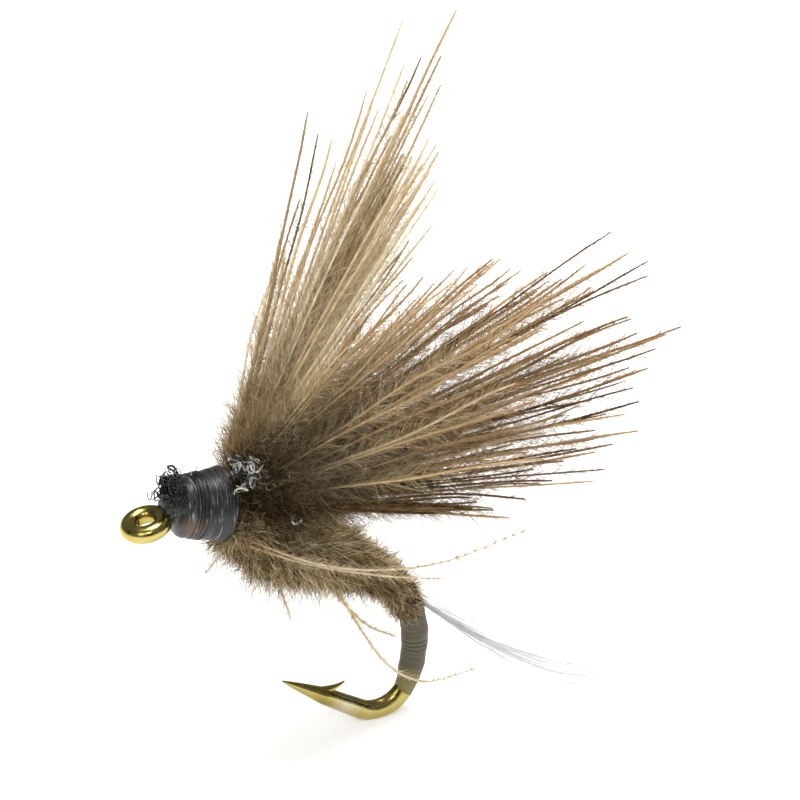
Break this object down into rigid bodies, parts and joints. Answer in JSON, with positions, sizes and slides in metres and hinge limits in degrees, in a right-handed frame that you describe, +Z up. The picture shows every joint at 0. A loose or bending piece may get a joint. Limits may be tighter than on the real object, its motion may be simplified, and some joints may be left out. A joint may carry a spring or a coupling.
{
  "type": "dry fly",
  "caption": "Fishing fly on a barbed down-eye hook: fur body, upright divided wings of long barbed fibres, leg fibres, white tail and a wound thread head.",
  "frame": {"origin": "centre of the hook eye", "axes": "+Z up with the fly standing nose up on the bottom of its bend, -X the way the eye points, the left wing on -Y"},
  "size_m": [0.0185, 0.0245, 0.0211],
  "materials": {
    "hook_wire": "bronzed and polished",
    "head_thread": "waxed thread with a thin coat of varnish",
    "bend_thread": "matt olive grey thread",
    "fur": "loose dubbed fur",
    "dark_barbs": "soft feather barbs",
    "tan_barbs": "soft feather barbs",
    "pale_barbs": "soft feather barbs",
    "leg_barbs": "soft feather barbs",
    "butt_fibres": "trimmed fibre ends, some of them shiny",
    "white_tail": "translucent white fibres"
  },
  "bodies": {
    "tied_hook": {"hook": "hook_wire", "hook_eye": "hook_wire", "thread_base": "bend_thread", "bend_wrap": "bend_thread", "abdomen_dubbing": "fur", "thorax_dubbing": "fur", "leg_long_upper": "leg_barbs", "leg_long_lower": "leg_barbs", "leg_right_side": "leg_barbs", "leg_trailing_left": "leg_barbs", "leg_trailing_right": "leg_barbs", "leg_short_belly": "leg_barbs", "leg_short_throat": "leg_barbs", "rear_wing_butts": "butt_fibres", "front_trimmed_butts": "butt_fibres", "head_wraps": "head_thread", "whip_finish": "head_thread", "thread_tag": "head_thread"},
    "left_wing": {"left_wing_dark_barbs": "dark_barbs", "left_wing_tan_barbs": "tan_barbs"},
    "right_wing": {"right_wing_tan_barbs": "tan_barbs", "right_wing_pale_barbs": "pale_barbs"},
    "tail": {"tail_bundle": "white_tail", "tail_upper_fibre": "white_tail"}
  },
  "joints": [
    {"name": "left_wing_flex", "type": "hinge", "parent": "tied_hook", "child": "left_wing", "pos_m": [0.00317, -0.0005, 0.00042], "axis": [0.8554, 0, -0.518], "range_deg": [-12, 20], "stiffness_Nm_per_rad": 0.000005},
    {"name": "right_wing_flex", "type": "hinge", "parent": "tied_hook", "child": "right_wing", "pos_m": [0.00317, 0.0005, 0.00042], "axis": [-0.8554, 0, 0.518], "range_deg": [-12, 20], "stiffness_Nm_per_rad": 0.000005},
    {"name": "tail_flex", "type": "hinge", "parent": "tied_hook", "child": "tail", "pos_m": [0.00939, 0, -0.00508], "axis": [0, 1, 0], "range_deg": [-20, 12], "stiffness_Nm_per_rad": 0.0000003}
  ]
}
